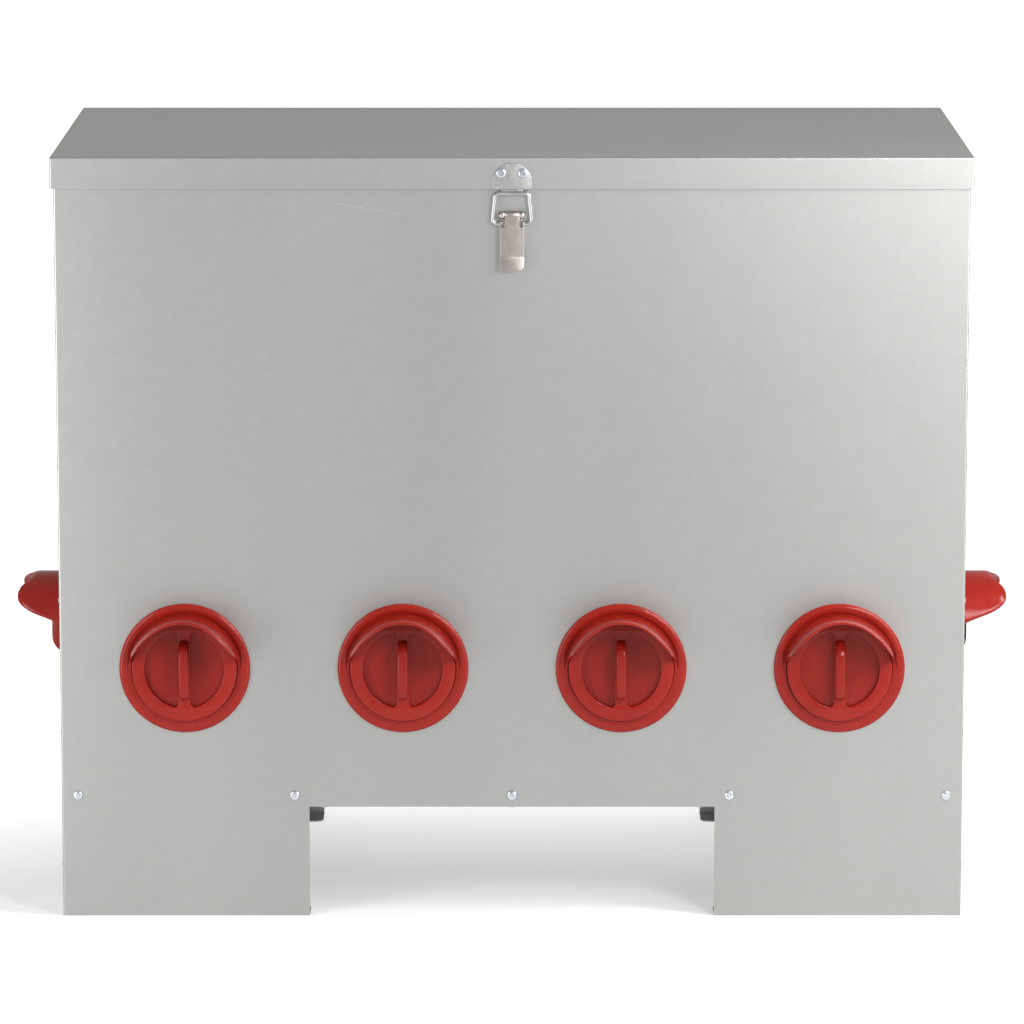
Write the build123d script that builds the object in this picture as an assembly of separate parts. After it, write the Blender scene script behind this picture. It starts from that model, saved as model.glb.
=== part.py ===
from build123d import *
import os
from math import cos, radians, sin

# Gravity poultry feeder: a galvanised sheet hopper on four folded legs, a lid hinged at the back and
# held by a toggle latch at the front, and ten moulded feeding ports, each closed by a turn-out plug.
# Millimetres. +Z is up, the front faces -Y, and the origin lies on the ground under the middle.

# Body of folded sheet
SHEET = 0.8
BEND = 1.6
FOLD_ROUND = 0.72
BODY_WIDTH = 800.0
BODY_DEPTH = 393.0
BODY_TOP = 678.8
CORNER_RETURN = 20.0
TOP_FOLD = 12.0
FOLD_INSET = 1.0
PANEL_GAP = 0.1

# Legs, left standing by a cut-out in each wall
CUTOUT_HEIGHT = 99.5
FRONT_CUTOUT = 360.0
SIDE_CUTOUT = 200.0
CUTOUT_FOLD = 20.0
FOOT_FOLD = 35.0
FOOT_CORNER = 8.0
SIDE_FOOT_FOLD = 25.0

# Floor pan and feed ridge
PAN_FLANGE = 18.0
PAN_CLEARANCE = 0.2
RIDGE_HALF_SPAN = 140.0
RIDGE_FOOT = 14.0
RIDGE_HEIGHT = 56.0
RIDGE_END_GAP = 1.0

# Lid
LID_WIDTH = 806.0
LID_DEPTH = 399.0
LID_TOP = 680.0
LID_RIM = 28.0

# Feeding ports
PORT_PITCH = 193.0
PORT_COUNT = 4
PORT_HEIGHT = 225.6
FLANGE_RADIUS = 58.0
FLANGE_THICKNESS = 4.4
FLANGE_ROUND = 3.0
HOOD_OUTER = 49.3
HOOD_INNER = 47.0
HOOD_REACH = 51.7
HOOD_CROWN_REACH = 33.0
HOOD_CROWN = (48.2, 38.4)
HOOD_SHOULDER = (45.2, 41.0)
HOOD_BROW = (39.3, 49.0)
HOOD_NOSE = 31.5
HOOD_LIP = (28.0, 50.3)
HOOD_CHIN = (24.3, 46.5)
HOOD_FOOT = 4.6
SEAT_DEPTH = 1.5
TUBE_OUTER = 47.0
TUBE_INNER = 44.0
TUBE_LENGTH = 14.0
WALL_HOLE = 47.3

# Lock ring behind the wall
RING_BORE = 47.15
RING_RADIUS = 55.0
RING_THICKNESS = 7.0
RING_LUGS = 8
RING_LUG_REACH = 58.5
RING_LUG_WIDTH = 8.0
RING_LUG_STEP = 1.0

# Plug and its seal
PLUG_RADIUS = 46.4
PLUG_BACK = 1.8
PLUG_FLOOR = 4.0
PLUG_RIM_FRONT = 9.0
PLUG_RIM_INNER = 35.0
PLUG_RIM_ROUND = 2.2
RECESS_CORNER = 3.0
BAR_WIDTH = 10.6
GRIP_WIDTH = 8.6
GRIP_HEIGHT = 23.4
SHORT_GRIP_HEIGHT = 18.4
GRIP_HALF_LENGTH = 27.0
GRIP_FLAT = 11.0
GRIP_ROUND = 1.6
GRIP_SINK = 1.0
SPIGOT_OUTER = 43.4
SPIGOT_INNER = 39.6
SPIGOT_DEPTH = 12.0
GROOVE_RADIUS = 42.0
GROOVE_FRONT = -4.0
GROOVE_WIDTH = 3.0
SEAL_RADIUS = 43.7
RUNNING_FIT = 0.05
SEAL_SIDE_GAP = 0.2
SEAL_TAPER = 0.5

# Piano hinge at the back of the lid
HINGE_LENGTH = 760.0
KNUCKLE_COUNT = 19
KNUCKLE_GAP = 0.4
BARREL_RADIUS = 3.1
HINGE_PIN_RADIUS = 1.5
LEAF = 1.1
LEAF_WIDTH = 26.0
HINGE_RIVET_COUNT = 8
HINGE_RIVET_SPAN = 700.0
HINGE_RIVET_OFFSET = 16.0
KNUCKLE_ROOT = 2.1
KNUCKLE_LAP = 1.0

# Toggle latch on the front
LATCH_PIVOT_HEIGHT = 629.5
LATCH_CURL_RADIUS = 3.2
LATCH_PIN_RADIUS = 1.3
LATCH_PLATE = 1.2
LATCH_GAP = 0.3
LATCH_PIN_HEAD_RADIUS = 2.1
LATCH_PIN_HEAD = 0.8
LATCH_PIN_END = 0.5
LEVER_WIDTH = 21.0
LEVER_TONGUE = 12.6
LEVER_SHOULDER = 619.0
LEVER_LIP_TOP = 593.2
LEVER_BOTTOM = 581.0
LEVER_LIP_REACH = 3.6
LEVER_CORNER = 5.5
CHEEK_START = 4.0
CHEEK_LOBE = 2.8
CHEEK_BACK_GAP = 0.5
BASE_HALF_WIDTH = 8.5
BASE_BOTTOM = 585.0
BASE_CORNER = 4.0
BASE_NOTCH_GAP = 0.8
BASE_EAR_INSET = 0.1
BAIL_PIVOT_HEIGHT = 622.0
BAIL_PIVOT_OUT = 3.4
BAIL_WIRE = 1.4
BAIL_TOP_HEIGHT = 648.7
BAIL_TOP_OUT = 4.9
BAIL_TOP_HALF = 14.6
BAIL_BOTTOM_HALF = 17.2
BAIL_CORNER = 3.6
KEEPER_RADIUS = 17.5
KEEPER_CENTRE = 657.5
KEEPER_LIP_WIDTH = 18.6
KEEPER_LIP_REACH = 1.9
KEEPER_LIP_BOTTOM = 650.4

# Fasteners
SCREW_HEAD_RADIUS = 4.2
SCREW_HEAD_HEIGHT = 2.4
SCREW_HEAD_ROUND = 1.5
SCREW_CROSS_LENGTH = 4.6
SCREW_CROSS_WIDTH = 1.1
SCREW_CROSS_DEPTH = 1.5
SCREW_POINT = 0.6
SCREW_SHANK = 1.9
SCREW_HOLE = 2.05
SCREW_LENGTH = 8.0
RIVET_HEAD_RADIUS = 3.2
RIVET_HEAD_HEIGHT = 1.3
RIVET_HEAD_ROUND = 1.1
RIVET_TAIL_RADIUS = 2.3
RIVET_TAIL_HEIGHT = 1.0
RIVET_SHANK = 1.55
RIVET_HOLE = 1.65
FLOOR_SCREW_HEIGHT = 110.0
FLOOR_SCREWS_X = (-385.5, -193.0, 0.0, 193.0, 385.5)
FLOOR_SCREWS_Y = (-96.5, 96.5)
CUTOUT_SCREWS_X = (-167.0, 0.0, 167.0)
RIDGE_SCREWS_X = (-300.0, 0.0, 300.0)
SEAM_RIVETS_Z = (45.0, 165.0, 285.0, 405.0, 525.0, 640.0)
KEEPER_SCREW_SPACING = 19.0
KEEPER_SCREW_HEIGHT = 666.4
KEEPER_SCREW_LENGTH = 3.2
BASE_RIVETS_Z = (613.0, 597.0)

# Cutting tools reach this far past what they cut
OVERCUT = 1.0
DRILL_LENGTH = 30.0
SHORT_DRILL_LENGTH = 9.0

HALF_WIDTH = BODY_WIDTH / 2
HALF_DEPTH = BODY_DEPTH / 2
SIDE_FACE = HALF_WIDTH - SHEET
PAN_BOTTOM = CUTOUT_HEIGHT + SHEET
PAN_TOP = PAN_BOTTOM + SHEET
LID_BACK = LID_DEPTH / 2
HINGE_Y = HALF_DEPTH + BARREL_RADIUS
HINGE_Z = LID_TOP - LID_RIM - BARREL_RADIUS - KNUCKLE_GAP
LATCH_Y = -(HALF_DEPTH + LATCH_CURL_RADIUS)
TO_FRONT = Rot(90, 0, 0)
UPWARD = (Align.CENTER, Align.CENTER, Align.MIN)
DOWNWARD = (Align.CENTER, Align.CENTER, Align.MAX)


def block(x0, x1, y0, y1, z0, z1):
    """A box between two corners."""
    middle = ((x0 + x1) / 2, (y0 + y1) / 2, (z0 + z1) / 2)
    return Pos(*middle) * Box(x1 - x0, y1 - y0, z1 - z0)


def face_of(plane, outline):
    """Face inside a closed outline of lines and arcs, given in a plane's own directions."""
    return make_face(plane * (Curve() + outline))


def turned(outline):
    """Revolve a closed radius-height outline about Z."""
    return revolve(face_of(Plane.XZ, outline), Axis.Z)


def polygon_turned(*points):
    """Revolve a straight-sided radius-height outline about Z."""
    return revolve(make_face(Plane.XZ * Polyline(*points, close=True)), Axis.Z)


def group(solids):
    """Separate solids kept in one node."""
    return Compound(children=list(solids))


# Fasteners, modelled with the head's seat at Z = 0 and the head above it

def pan_screw(length):
    head = Cylinder(SCREW_HEAD_RADIUS, SCREW_HEAD_HEIGHT, align=UPWARD)
    head = fillet(head.edges().group_by(Axis.Z)[-1], SCREW_HEAD_ROUND)
    slot = Box(SCREW_CROSS_LENGTH, SCREW_CROSS_WIDTH, SCREW_CROSS_DEPTH)
    cross = slot + Rot(0, 0, 90) * slot
    shank = Cylinder(SCREW_SHANK, length, align=DOWNWARD)
    shank = chamfer(shank.edges().group_by(Axis.Z)[0], SCREW_POINT)
    return head - Pos(0, 0, SCREW_HEAD_HEIGHT) * cross + shank


def dome_rivet(grip):
    head = Cylinder(RIVET_HEAD_RADIUS, RIVET_HEAD_HEIGHT, align=UPWARD)
    head = fillet(head.edges().group_by(Axis.Z)[-1], RIVET_HEAD_ROUND)
    shank = Cylinder(RIVET_SHANK, grip, align=DOWNWARD)
    tail = Cylinder(RIVET_TAIL_RADIUS, RIVET_TAIL_HEIGHT, align=DOWNWARD)
    return head + shank + Pos(0, 0, -grip) * tail


# Where things sit on the four walls

def on_wall(wall, across, height):
    """Frame with Z pointing out of a wall, Y up, at a place on the wall's outer face."""
    out = SIDE_FACE if wall in ("left", "right") else HALF_DEPTH
    turn = {"front": 0, "right": 90, "back": 180, "left": 270}[wall]
    return Rot(0, 0, turn) * Pos(across, -out, height) * TO_FRONT


def port_sites():
    """Name and frame of each port: four in front, four behind, one on each side."""
    sites = []
    for wall in ("front", "back"):
        for index in range(PORT_COUNT):
            across = (index - (PORT_COUNT - 1) / 2) * PORT_PITCH
            sites.append((wall, str(index + 1), on_wall(wall, across, PORT_HEIGHT)))
    for wall in ("left", "right"):
        sites.append((wall, "", on_wall(wall, 0, PORT_HEIGHT)))
    return sites


def through_hole(site, radius):
    return site * Cylinder(radius, DRILL_LENGTH)


def rivet_hole(site):
    return site * Cylinder(RIVET_HOLE, SHORT_DRILL_LENGTH)


# Sheet panels

def end_wall(wall):
    """Front or back wall: a full-width sheet with its ends, top, cut-out edge and feet folded in."""
    height = BODY_TOP
    outside = extrude(RectangleRounded(BODY_WIDTH, BODY_DEPTH, BEND), height)
    inside = extrude(RectangleRounded(BODY_WIDTH - 2 * SHEET, BODY_DEPTH - 2 * SHEET, BEND - SHEET), height)
    strip = block(-HALF_WIDTH, HALF_WIDTH, -HALF_DEPTH, -HALF_DEPTH + CORNER_RETURN, 0, height)
    panel = (outside - inside) & strip
    inner = -HALF_DEPTH + SHEET / 2
    edge = SIDE_FACE - PANEL_GAP
    fold_end = edge - SHEET
    panel += block(-fold_end, fold_end, inner, -HALF_DEPTH + TOP_FOLD, height - SHEET, height)
    half_cut = FRONT_CUTOUT / 2
    panel -= block(-half_cut, half_cut, -HALF_DEPTH - OVERCUT, 0, -OVERCUT, CUTOUT_HEIGHT)
    fold_end = half_cut - FOLD_INSET
    fold = block(-fold_end, fold_end, inner, -HALF_DEPTH + CUTOUT_FOLD, CUTOUT_HEIGHT, CUTOUT_HEIGHT + SHEET)
    for x in CUTOUT_SCREWS_X:
        fold -= through_hole(Pos(x, -HALF_DEPTH + CUTOUT_FOLD / 2, CUTOUT_HEIGHT), SCREW_HOLE)
    panel += fold
    for side in (-1, 1):
        foot = extrude(RectangleRounded(edge - half_cut, 2 * FOOT_FOLD, FOOT_CORNER), SHEET)
        foot = Pos(side * (edge + half_cut) / 2, -HALF_DEPTH, 0) * foot
        foot &= block(-HALF_WIDTH, HALF_WIDTH, inner, 0, -OVERCUT, OVERCUT)
        panel += foot
    panel = round_bends(panel)
    for x in FLOOR_SCREWS_X:
        panel -= through_hole(on_wall("front", x, FLOOR_SCREW_HEIGHT), SCREW_HOLE)
    for site_wall, _, site in port_sites():
        if site_wall == "front":
            panel -= through_hole(site, WALL_HOLE)
    for z in SEAM_RIVETS_Z:
        drill = Cylinder(RIVET_HOLE, BODY_WIDTH + SHORT_DRILL_LENGTH)
        panel -= Pos(0, -HALF_DEPTH + CORNER_RETURN / 2, z) * Rot(0, 90, 0) * drill
    if wall == "back":
        panel = Rot(0, 0, 180) * panel
        for x in rivet_places():
            panel -= rivet_hole(Pos(x, HALF_DEPTH, HINGE_Z - HINGE_RIVET_OFFSET) * TO_FRONT)
    else:
        for z in BASE_RIVETS_Z:
            panel -= rivet_hole(Pos(0, -HALF_DEPTH, z) * TO_FRONT)
    return panel


def is_long_fold(edge):
    """True for the outer edge of the fold at the top, at the cut-out or at a foot."""
    middle = edge.center()
    on_face = abs(middle.Y + HALF_DEPTH) < SHEET / 10
    at_fold = min(abs(middle.Z - z) for z in (0, CUTOUT_HEIGHT, BODY_TOP)) < SHEET / 10
    return on_face and at_fold and edge.length > FLANGE_RADIUS


def round_bends(panel):
    """Give the long folds along X their outer bend radius."""
    folds = panel.edges().filter_by(Axis.X).filter_by(is_long_fold)
    return fillet(folds, FOLD_ROUND)


def side_wall(wall):
    """Side wall: tucked behind the end walls' returns, with its top and feet folded in."""
    reach = HALF_DEPTH - 2 * SHEET - PANEL_GAP
    inner = SIDE_FACE - SHEET
    panel = block(inner, SIDE_FACE, -reach, reach, SHEET + PANEL_GAP, BODY_TOP)
    top = HALF_DEPTH - TOP_FOLD - PANEL_GAP
    panel += block(SIDE_FACE - TOP_FOLD, inner + SHEET / 2, -top, top, BODY_TOP - SHEET, BODY_TOP)
    half_cut = SIDE_CUTOUT / 2
    panel -= block(0, HALF_WIDTH, -half_cut, half_cut, -OVERCUT, CUTOUT_HEIGHT)
    foot_end = HALF_DEPTH - FOOT_FOLD - FOLD_INSET
    for side in (-1, 1):
        near, far = sorted((side * half_cut, side * foot_end))
        panel += block(inner, SIDE_FACE, near, far, 0, 2 * SHEET)
        panel += block(SIDE_FACE - SIDE_FOOT_FOLD, inner + SHEET / 2, near, far, 0, SHEET)
    panel -= through_hole(on_wall("right", 0, PORT_HEIGHT), WALL_HOLE)
    for y in FLOOR_SCREWS_Y:
        panel -= through_hole(on_wall("right", y, FLOOR_SCREW_HEIGHT), SCREW_HOLE)
    for z in SEAM_RIVETS_Z:
        for y in (-1, 1):
            place = Pos(SIDE_FACE, y * (HALF_DEPTH - CORNER_RETURN / 2), z)
            panel -= rivet_hole(place * Rot(0, 90, 0))
    return panel if wall == "right" else Rot(0, 0, 180) * panel


def floor_pan():
    """Tray that closes the hopper, with its edges folded up against the walls."""
    length = BODY_WIDTH - 4 * SHEET - 2 * PAN_CLEARANCE
    width = BODY_DEPTH - 2 * SHEET - 2 * PAN_CLEARANCE
    tray = Box(length, width, PAN_FLANGE, align=UPWARD)
    tray = fillet(tray.edges().group_by(Axis.Z)[0] + tray.edges().filter_by(Axis.Z), BEND)
    hollow = Box(length - 2 * SHEET, width - 2 * SHEET, PAN_FLANGE, align=UPWARD)
    hollow = fillet(hollow.edges().group_by(Axis.Z)[0] + hollow.edges().filter_by(Axis.Z), BEND - SHEET)
    tray = Pos(0, 0, PAN_BOTTOM) * (tray - Pos(0, 0, SHEET) * hollow)
    for site in floor_screw_sites():
        tray -= through_hole(site, SCREW_HOLE)
    for site in cutout_screw_sites() + ridge_screw_sites():
        tray -= through_hole(site, SCREW_HOLE)
    return tray


def feed_ridge():
    """Inverted V that sends the feed down to the ports."""
    foot = RIDGE_HALF_SPAN + RIDGE_FOOT
    top = PAN_TOP + RIDGE_HEIGHT
    outline = Polyline(
        (-foot, PAN_TOP), (-RIDGE_HALF_SPAN, PAN_TOP), (0, top - SHEET), (RIDGE_HALF_SPAN, PAN_TOP),
        (foot, PAN_TOP), (foot, PAN_TOP + SHEET), (RIDGE_HALF_SPAN + SHEET / 4, PAN_TOP + SHEET),
        (0, top), (-RIDGE_HALF_SPAN - SHEET / 4, PAN_TOP + SHEET), (-foot, PAN_TOP + SHEET),
        close=True)
    half_length = HALF_WIDTH - 2 * SHEET - RIDGE_END_GAP - PAN_CLEARANCE - SHEET
    ridge = extrude(make_face(Plane.YZ * outline), half_length, both=True)
    for site in ridge_screw_sites():
        ridge -= through_hole(site, SCREW_HOLE)
    return ridge


def lid_panel():
    """Shallow tray turned upside down over the hopper."""
    shell = Box(LID_WIDTH, LID_DEPTH, LID_RIM, align=UPWARD)
    shell = fillet(shell.edges().group_by(Axis.Z)[-1] + shell.edges().filter_by(Axis.Z), BEND)
    hollow = Box(LID_WIDTH - 2 * SHEET, LID_DEPTH - 2 * SHEET, LID_RIM - SHEET, align=UPWARD)
    hollow = fillet(hollow.edges().group_by(Axis.Z)[-1] + hollow.edges().filter_by(Axis.Z), BEND - SHEET)
    lid = Pos(0, 0, LID_TOP - LID_RIM) * (shell - hollow)
    for site in keeper_screw_sites():
        lid -= through_hole(site, SCREW_HOLE)
    for site in lid_rivet_sites():
        lid -= rivet_hole(site)
    return lid


# Fastener places

def floor_screw_sites():
    sites = []
    for wall in ("front", "back"):
        sites += [on_wall(wall, x, FLOOR_SCREW_HEIGHT) for x in FLOOR_SCREWS_X]
    for wall in ("left", "right"):
        sites += [on_wall(wall, y, FLOOR_SCREW_HEIGHT) for y in FLOOR_SCREWS_Y]
    return sites


def cutout_screw_sites():
    depth = HALF_DEPTH - CUTOUT_FOLD / 2
    upward = Rot(180, 0, 0)
    return [Pos(x, y, CUTOUT_HEIGHT) * upward for y in (-depth, depth) for x in CUTOUT_SCREWS_X]


def ridge_screw_sites():
    depth = RIDGE_HALF_SPAN + RIDGE_FOOT / 2 + RIDGE_END_GAP
    upward = Rot(180, 0, 0)
    return [Pos(x, y, PAN_BOTTOM) * upward for y in (-depth, depth) for x in RIDGE_SCREWS_X]


def keeper_screw_sites():
    face = -(LID_BACK + LATCH_PLATE)
    half = KEEPER_SCREW_SPACING / 2
    return [Pos(x, face, KEEPER_SCREW_HEIGHT) * TO_FRONT for x in (-half, half)]


def seam_rivet_sites():
    sites = []
    depth = HALF_DEPTH - CORNER_RETURN / 2
    for z in SEAM_RIVETS_Z:
        for y in (-depth, depth):
            sites.append(Pos(HALF_WIDTH, y, z) * Rot(0, 90, 0))
            sites.append(Pos(-HALF_WIDTH, y, z) * Rot(0, -90, 0))
    return sites


def rivet_places():
    step = HINGE_RIVET_SPAN / (HINGE_RIVET_COUNT - 1)
    return [-HINGE_RIVET_SPAN / 2 + step * index for index in range(HINGE_RIVET_COUNT)]


def lid_rivet_sites():
    height = HINGE_Z + HINGE_RIVET_OFFSET
    return [Pos(x, LID_BACK + LEAF, height) * Rot(-90, 0, 0) for x in rivet_places()]


def body_rivet_sites():
    height = HINGE_Z - HINGE_RIVET_OFFSET
    return [Pos(x, HALF_DEPTH + LEAF, height) * Rot(-90, 0, 0) for x in rivet_places()]


# Feeding port, modelled with Z pointing out of the wall, Y up, and Z = 0 on the wall's face

def hood_side():
    """Side view of the rain hood. Each point is a height above the port's middle and a reach."""
    top = HOOD_OUTER + OVERCUT
    start = (HOOD_OUTER, HOOD_CROWN_REACH)
    nose = (HOOD_NOSE, HOOD_REACH)
    outline = [
        Polyline((HOOD_FOOT, SEAT_DEPTH), (top, SEAT_DEPTH), (top, HOOD_CROWN_REACH), start),
        ThreePointArc(start, HOOD_CROWN, HOOD_SHOULDER),
        ThreePointArc(HOOD_SHOULDER, HOOD_BROW, nose),
        ThreePointArc(nose, HOOD_LIP, HOOD_CHIN),
        Line(HOOD_CHIN, (HOOD_FOOT, SEAT_DEPTH)),
    ]
    return face_of(Plane.YZ, outline)


def hood():
    """Rain hood: the upper part of a tube, cut to its side view."""
    outer = Cylinder(HOOD_OUTER, HOOD_REACH + OVERCUT, align=UPWARD)
    inner = Cylinder(HOOD_INNER, HOOD_REACH + OVERCUT, align=UPWARD)
    return (outer - inner) & extrude(hood_side(), HOOD_OUTER + OVERCUT, both=True)


def port():
    """One moulding: flange, threaded tube through the wall, seat for the plug, and rain hood."""
    crown = FLANGE_RADIUS - FLANGE_ROUND
    slant = FLANGE_ROUND * (1 - cos(radians(45)))
    outline = [
        Polyline((crown, FLANGE_THICKNESS), (HOOD_INNER, FLANGE_THICKNESS), (HOOD_INNER, SEAT_DEPTH),
                 (TUBE_INNER, SEAT_DEPTH), (TUBE_INNER, -TUBE_LENGTH), (TUBE_OUTER, -TUBE_LENGTH),
                 (TUBE_OUTER, 0), (FLANGE_RADIUS, 0), (FLANGE_RADIUS, FLANGE_THICKNESS - FLANGE_ROUND)),
        ThreePointArc((FLANGE_RADIUS, FLANGE_THICKNESS - FLANGE_ROUND),
                      (FLANGE_RADIUS - slant, FLANGE_THICKNESS - slant), (crown, FLANGE_THICKNESS)),
    ]
    return turned(outline) + hood()


def lock_ring():
    """Nut on the tube, inside the hopper, with lugs for the hand."""
    back = -SHEET - RING_THICKNESS
    ring = polygon_turned((RING_BORE, back), (RING_RADIUS, back), (RING_RADIUS, -SHEET), (RING_BORE, -SHEET))
    half = RING_LUG_WIDTH / 2
    lug = block(RING_RADIUS - RING_LUG_STEP, RING_LUG_REACH, -half, half, back, -SHEET - RING_LUG_STEP)
    for index in range(RING_LUGS):
        ring += Rot(0, 0, 360 / RING_LUGS * (index + 0.5)) * lug
    return ring


def grip(height):
    """Bridge-shaped finger grip across the plug."""
    base = PLUG_RIM_FRONT - GRIP_SINK
    middle = (GRIP_FLAT + (GRIP_HALF_LENGTH - GRIP_FLAT) * sin(radians(45)),
              base + (height - base) * cos(radians(45)))
    outline = [
        Line((-GRIP_FLAT, height), (GRIP_FLAT, height)),
        ThreePointArc((GRIP_FLAT, height), middle, (GRIP_HALF_LENGTH, base)),
        Polyline((GRIP_HALF_LENGTH, base), (GRIP_HALF_LENGTH, PLUG_FLOOR), (-GRIP_HALF_LENGTH, PLUG_FLOOR),
                 (-GRIP_HALF_LENGTH, base)),
        ThreePointArc((-GRIP_HALF_LENGTH, base), (-middle[0], middle[1]), (-GRIP_FLAT, height)),
    ]
    bridge = extrude(face_of(Plane.YZ, outline), GRIP_WIDTH / 2, both=True)
    top = bridge.edges().filter_by(lambda edge: edge.center().Z > PLUG_RIM_FRONT and abs(edge.center().X) > 1)
    return fillet(top, GRIP_ROUND)


def plug(grip_height=GRIP_HEIGHT):
    """Turn-out plug: raised rim, two half-round recesses, grip, and a hollow spigot behind."""
    body = polygon_turned(
        (0, PLUG_BACK), (SPIGOT_INNER, PLUG_BACK), (SPIGOT_INNER, -SPIGOT_DEPTH),
        (SPIGOT_OUTER, -SPIGOT_DEPTH), (SPIGOT_OUTER, GROOVE_FRONT - GROOVE_WIDTH),
        (GROOVE_RADIUS, GROOVE_FRONT - GROOVE_WIDTH), (GROOVE_RADIUS, GROOVE_FRONT),
        (SPIGOT_OUTER, GROOVE_FRONT), (SPIGOT_OUTER, PLUG_BACK), (PLUG_RADIUS, PLUG_BACK),
        (PLUG_RADIUS, PLUG_RIM_FRONT), (0, PLUG_RIM_FRONT))
    rim = body.edges().filter_by(GeomType.CIRCLE).group_by(Axis.Z)[-1]
    body = fillet(rim, PLUG_RIM_ROUND)
    top = PLUG_RIM_FRONT + OVERCUT
    recess = Pos(0, 0, PLUG_FLOOR) * Cylinder(PLUG_RIM_INNER, top - PLUG_FLOOR, align=UPWARD)
    recess -= block(-BAR_WIDTH / 2, BAR_WIDTH / 2, -PLUG_RADIUS, PLUG_RADIUS, PLUG_FLOOR, top)
    recess = fillet(recess.edges().filter_by(Axis.Z), RECESS_CORNER)
    return body - recess + grip(grip_height)


def plug_seal():
    """Rubber ring in the plug's groove."""
    bore = GROOVE_RADIUS + RUNNING_FIT
    front = GROOVE_FRONT - SEAL_SIDE_GAP
    back = GROOVE_FRONT - GROOVE_WIDTH + SEAL_SIDE_GAP
    return polygon_turned((bore, back), (SEAL_RADIUS, back + SEAL_TAPER), (SEAL_RADIUS, front - SEAL_TAPER),
                          (bore, front))


# Piano hinge

def knuckles(owner):
    """Start and end of each knuckle that belongs to one leaf: 0 for the body's, 1 for the lid's."""
    pitch = HINGE_LENGTH / KNUCKLE_COUNT
    start = -HINGE_LENGTH / 2
    spans = [(start + pitch * index, start + pitch * (index + 1)) for index in range(KNUCKLE_COUNT)]
    return [(low + KNUCKLE_GAP / 2, high - KNUCKLE_GAP / 2) for low, high in spans[owner::2]]


def barrel(low, high):
    tube = Cylinder(BARREL_RADIUS, high - low) - Cylinder(HINGE_PIN_RADIUS + RUNNING_FIT, high - low)
    return Pos((low + high) / 2, HINGE_Y, HINGE_Z) * Rot(0, 90, 0) * tube


def body_leaf():
    edge = HINGE_Z - BARREL_RADIUS - KNUCKLE_GAP
    half = HINGE_LENGTH / 2
    leaf = block(-half, half, HALF_DEPTH, HALF_DEPTH + LEAF, HINGE_Z - LEAF_WIDTH, edge)
    for low, high in knuckles(0):
        leaf += block(low, high, HALF_DEPTH, HALF_DEPTH + LEAF, edge - KNUCKLE_LAP, HINGE_Z)
        leaf += barrel(low, high)
    for site in body_rivet_sites():
        leaf -= rivet_hole(site)
    return leaf


def lid_leaf():
    edge = HINGE_Z + BARREL_RADIUS + KNUCKLE_GAP
    half = HINGE_LENGTH / 2
    leaf = block(-half, half, LID_BACK, LID_BACK + LEAF, edge, HINGE_Z + LEAF_WIDTH)
    root = HINGE_Z + KNUCKLE_ROOT
    for low, high in knuckles(1):
        leaf += block(low, high, LID_BACK, LID_BACK + LEAF, root, edge + KNUCKLE_LAP)
        leaf += barrel(low, high)
    for site in lid_rivet_sites():
        leaf -= rivet_hole(site)
    return leaf


def hinge_pin():
    return Pos(0, HINGE_Y, HINGE_Z) * Rot(0, 90, 0) * Cylinder(HINGE_PIN_RADIUS, HINGE_LENGTH)


# Toggle latch

def curl(low, high):
    """Rolled sheet round the latch pin."""
    tube = Cylinder(LATCH_CURL_RADIUS, high - low)
    tube -= Cylinder(LATCH_PIN_RADIUS + RUNNING_FIT, high - low)
    return Pos((low + high) / 2, LATCH_Y, LATCH_PIVOT_HEIGHT) * Rot(0, 90, 0) * tube


def latch_base():
    """Plate riveted to the front wall, with a rolled ear on each side of the lever's tongue."""
    face = -HALF_DEPTH
    front = face - LATCH_PLATE
    notch = LATCH_PIVOT_HEIGHT - LATCH_CURL_RADIUS - BASE_NOTCH_GAP
    plate = block(-BASE_HALF_WIDTH, BASE_HALF_WIDTH, front, face, BASE_BOTTOM, notch)
    plate = fillet(plate.edges().filter_by(Axis.Y).group_by(Axis.Z)[0], BASE_CORNER)
    gap = LEVER_TONGUE / 2 + LATCH_GAP
    ear = LEVER_WIDTH / 2 - BASE_EAR_INSET
    for side in (-1, 1):
        low, high = sorted((side * gap, side * ear))
        neck_low, neck_high = sorted((side * gap, side * BASE_HALF_WIDTH))
        plate += block(neck_low, neck_high, front, face, notch - OVERCUT, LATCH_PIVOT_HEIGHT)
        plate += curl(low, high)
    for z in BASE_RIVETS_Z:
        plate -= rivet_hole(Pos(0, face, z) * TO_FRONT)
    return plate


def lever_pin():
    """Pin through the base's ears and the lever's tongue, with a head at each end."""
    half = LEVER_WIDTH / 2 + LATCH_PIN_END
    pin = Cylinder(LATCH_PIN_RADIUS, 2 * half)
    for side in (-1, 1):
        pin += Pos(0, 0, side * (half + LATCH_GAP)) * Cylinder(LATCH_PIN_HEAD_RADIUS, LATCH_PIN_HEAD)
    return Pos(0, LATCH_Y, LATCH_PIVOT_HEIGHT) * Rot(0, 90, 0) * pin


def bail_pivot():
    return -(HALF_DEPTH + BAIL_PIVOT_OUT)


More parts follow.
